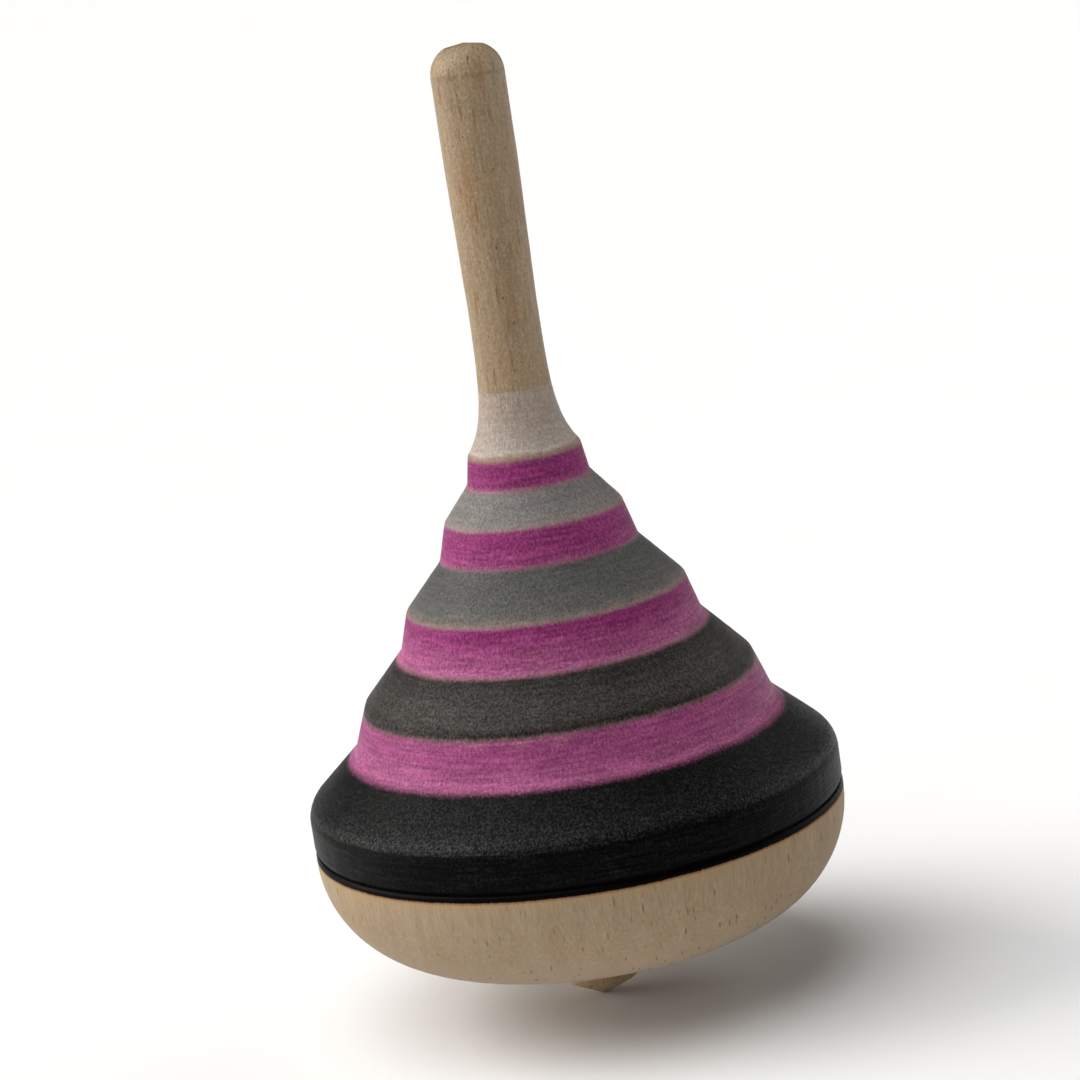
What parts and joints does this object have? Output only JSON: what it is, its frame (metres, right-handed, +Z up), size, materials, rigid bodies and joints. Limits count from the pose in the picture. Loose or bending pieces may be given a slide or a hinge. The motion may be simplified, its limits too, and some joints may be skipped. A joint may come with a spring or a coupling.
{
  "type": "spinning top",
  "caption": "Long-handled wooden twirling top: slim turned handle, stepped bell-shaped painted body over a natural rounded bowl with a dark groove between them, and a blunt tip peg.",
  "frame": {"origin": "the point that the top spins on, the lowest point of the tip peg", "axes": "+Z up the spin axis, from the tip to the end of the handle; the part is the same all the way round"},
  "size_m": [0.06, 0.06, 0.1085],
  "materials": {
    "handle_wood": "satin",
    "stained_bell": "satin",
    "bowl_wood": "satin",
    "peg_wood": "satin"
  },
  "bodies": {
    "root": {"handle": "handle_wood", "painted_bell": "stained_bell", "base_bowl": "bowl_wood", "tip_peg": "peg_wood"}
  },
  "joints": []
}
